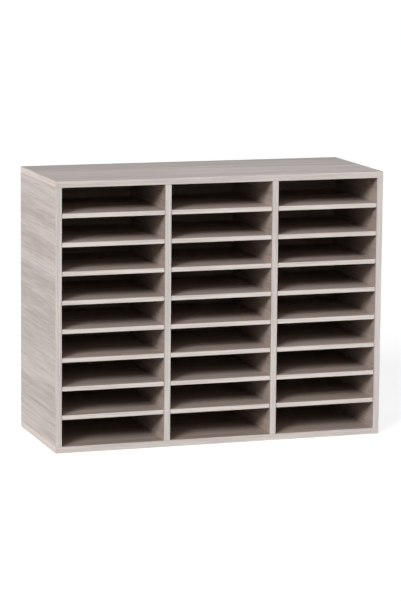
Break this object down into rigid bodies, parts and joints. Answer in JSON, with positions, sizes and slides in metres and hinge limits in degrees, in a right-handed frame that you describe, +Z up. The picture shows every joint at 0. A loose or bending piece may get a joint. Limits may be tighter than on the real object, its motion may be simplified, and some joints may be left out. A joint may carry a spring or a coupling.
{
  "type": "pigeonhole mail sorter",
  "caption": "Desktop pigeonhole mail sorter: a laminated board carcass with columns of loose shelves on steel pins and a recessed back panel.",
  "frame": {"origin": "centre of the footprint, on the surface that the sorter stands on", "axes": "+X to the right along the width as seen from the front, +Y from the open front to the back, +Z up"},
  "size_m": [0.862, 0.3364, 0.6795],
  "materials": {
    "board_laminate": "pale ash-grain laminate, satin",
    "shelf_laminate": "pale ash-grain laminate, satin",
    "back_board": "printed hardboard, matt",
    "zinc_cams": "die-cast zinc, dull",
    "steel_fasteners": "zinc-plated steel",
    "dowel_wood": "raw beech"
  },
  "bodies": {
    "carcass": {"bottom_panel": "board_laminate", "top_panel": "board_laminate", "side_panel_left": "board_laminate", "divider_1": "board_laminate", "divider_2": "board_laminate", "side_panel_right": "board_laminate", "back_panel": "back_board", "cam_lock_side_panel_left_front": "zinc_cams", "cam_lock_side_panel_left_rear": "zinc_cams", "cam_lock_divider_1_front": "zinc_cams", "cam_lock_divider_1_rear": "zinc_cams", "cam_lock_divider_2_front": "zinc_cams", "cam_lock_divider_2_rear": "zinc_cams", "cam_lock_side_panel_right_front": "zinc_cams", "cam_lock_side_panel_right_rear": "zinc_cams", "cam_bolt_side_panel_left_front": "steel_fasteners", "cam_bolt_side_panel_left_rear": "steel_fasteners", "cam_bolt_divider_1_front": "steel_fasteners", "cam_bolt_divider_1_rear": "steel_fasteners", "cam_bolt_divider_2_front": "steel_fasteners", "cam_bolt_divider_2_rear": "steel_fasteners", "cam_bolt_side_panel_right_front": "steel_fasteners", "cam_bolt_side_panel_right_rear": "steel_fasteners", "base_screw_side_panel_left_front": "steel_fasteners", "base_screw_side_panel_left_rear": "steel_fasteners", "base_screw_divider_1_front": "steel_fasteners", "base_screw_divider_1_rear": "steel_fasteners", "base_screw_divider_2_front": "steel_fasteners", "base_screw_divider_2_rear": "steel_fasteners", "base_screw_side_panel_right_front": "steel_fasteners", "base_screw_side_panel_right_rear": "steel_fasteners", "dowel_side_panel_left": "dowel_wood", "dowel_divider_1": "dowel_wood", "dowel_divider_2": "dowel_wood", "dowel_side_panel_right": "dowel_wood"},
    "shelf_left_1": {"shelf_left_1": "shelf_laminate"},
    "shelf_left_2": {"shelf_left_2": "shelf_laminate"},
    "shelf_left_3": {"shelf_left_3": "shelf_laminate"},
    "shelf_left_4": {"shelf_left_4": "shelf_laminate"},
    "shelf_left_5": {"shelf_left_5": "shelf_laminate"},
    "shelf_left_6": {"shelf_left_6": "shelf_laminate"},
    "shelf_left_7": {"shelf_left_7": "shelf_laminate"},
    "shelf_left_8": {"shelf_left_8": "shelf_laminate"},
    "shelf_middle_1": {"shelf_middle_1": "shelf_laminate"},
    "shelf_middle_2": {"shelf_middle_2": "shelf_laminate"},
    "shelf_middle_3": {"shelf_middle_3": "shelf_laminate"},
    "shelf_middle_4": {"shelf_middle_4": "shelf_laminate"},
    "shelf_middle_5": {"shelf_middle_5": "shelf_laminate"},
    "shelf_middle_6": {"shelf_middle_6": "shelf_laminate"},
    "shelf_middle_7": {"shelf_middle_7": "shelf_laminate"},
    "shelf_middle_8": {"shelf_middle_8": "shelf_laminate"},
    "shelf_right_1": {"shelf_right_1": "shelf_laminate"},
    "shelf_right_2": {"shelf_right_2": "shelf_laminate"},
    "shelf_right_3": {"shelf_right_3": "shelf_laminate"},
    "shelf_right_4": {"shelf_right_4": "shelf_laminate"},
    "shelf_right_5": {"shelf_right_5": "shelf_laminate"},
    "shelf_right_6": {"shelf_right_6": "shelf_laminate"},
    "shelf_right_7": {"shelf_right_7": "shelf_laminate"},
    "shelf_right_8": {"shelf_right_8": "shelf_laminate"}
  },
  "joints": [
    {"name": "shelf_left_1_slide", "type": "slide", "parent": "carcass", "child": "shelf_left_1", "axis": [0, -1, 0], "range_m": [0, 0.303]},
    {"name": "shelf_left_2_slide", "type": "slide", "parent": "carcass", "child": "shelf_left_2", "axis": [0, -1, 0], "range_m": [0, 0.303]},
    {"name": "shelf_left_3_slide", "type": "slide", "parent": "carcass", "child": "shelf_left_3", "axis": [0, -1, 0], "range_m": [0, 0.303]},
    {"name": "shelf_left_4_slide", "type": "slide", "parent": "carcass", "child": "shelf_left_4", "axis": [0, -1, 0], "range_m": [0, 0.303]},
    {"name": "shelf_left_5_slide", "type": "slide", "parent": "carcass", "child": "shelf_left_5", "axis": [0, -1, 0], "range_m": [0, 0.303]},
    {"name": "shelf_left_6_slide", "type": "slide", "parent": "carcass", "child": "shelf_left_6", "axis": [0, -1, 0], "range_m": [0, 0.303]},
    {"name": "shelf_left_7_slide", "type": "slide", "parent": "carcass", "child": "shelf_left_7", "axis": [0, -1, 0], "range_m": [0, 0.303]},
    {"name": "shelf_left_8_slide", "type": "slide", "parent": "carcass", "child": "shelf_left_8", "axis": [0, -1, 0], "range_m": [0, 0.303]},
    {"name": "shelf_middle_1_slide", "type": "slide", "parent": "carcass", "child": "shelf_middle_1", "axis": [0, -1, 0], "range_m": [0, 0.303]},
    {"name": "shelf_middle_2_slide", "type": "slide", "parent": "carcass", "child": "shelf_middle_2", "axis": [0, -1, 0], "range_m": [0, 0.303]},
    {"name": "shelf_middle_3_slide", "type": "slide", "parent": "carcass", "child": "shelf_middle_3", "axis": [0, -1, 0], "range_m": [0, 0.303]},
    {"name": "shelf_middle_4_slide", "type": "slide", "parent": "carcass", "child": "shelf_middle_4", "axis": [0, -1, 0], "range_m": [0, 0.303]},
    {"name": "shelf_middle_5_slide", "type": "slide", "parent": "carcass", "child": "shelf_middle_5", "axis": [0, -1, 0], "range_m": [0, 0.303]},
    {"name": "shelf_middle_6_slide", "type": "slide", "parent": "carcass", "child": "shelf_middle_6", "axis": [0, -1, 0], "range_m": [0, 0.303]},
    {"name": "shelf_middle_7_slide", "type": "slide", "parent": "carcass", "child": "shelf_middle_7", "axis": [0, -1, 0], "range_m": [0, 0.303]},
    {"name": "shelf_middle_8_slide", "type": "slide", "parent": "carcass", "child": "shelf_middle_8", "axis": [0, -1, 0], "range_m": [0, 0.303]},
    {"name": "shelf_right_1_slide", "type": "slide", "parent": "carcass", "child": "shelf_right_1", "axis": [0, -1, 0], "range_m": [0, 0.303]},
    {"name": "shelf_right_2_slide", "type": "slide", "parent": "carcass", "child": "shelf_right_2", "axis": [0, -1, 0], "range_m": [0, 0.303]},
    {"name": "shelf_right_3_slide", "type": "slide", "parent": "carcass", "child": "shelf_right_3", "axis": [0, -1, 0], "range_m": [0, 0.303]},
    {"name": "shelf_right_4_slide", "type": "slide", "parent": "carcass", "child": "shelf_right_4", "axis": [0, -1, 0], "range_m": [0, 0.303]},
    {"name": "shelf_right_5_slide", "type": "slide", "parent": "carcass", "child": "shelf_right_5", "axis": [0, -1, 0], "range_m": [0, 0.303]},
    {"name": "shelf_right_6_slide", "type": "slide", "parent": "carcass", "child": "shelf_right_6", "axis": [0, -1, 0], "range_m": [0, 0.303]},
    {"name": "shelf_right_7_slide", "type": "slide", "parent": "carcass", "child": "shelf_right_7", "axis": [0, -1, 0], "range_m": [0, 0.303]},
    {"name": "shelf_right_8_slide", "type": "slide", "parent": "carcass", "child": "shelf_right_8", "axis": [0, -1, 0], "range_m": [0, 0.303]}
  ]
}
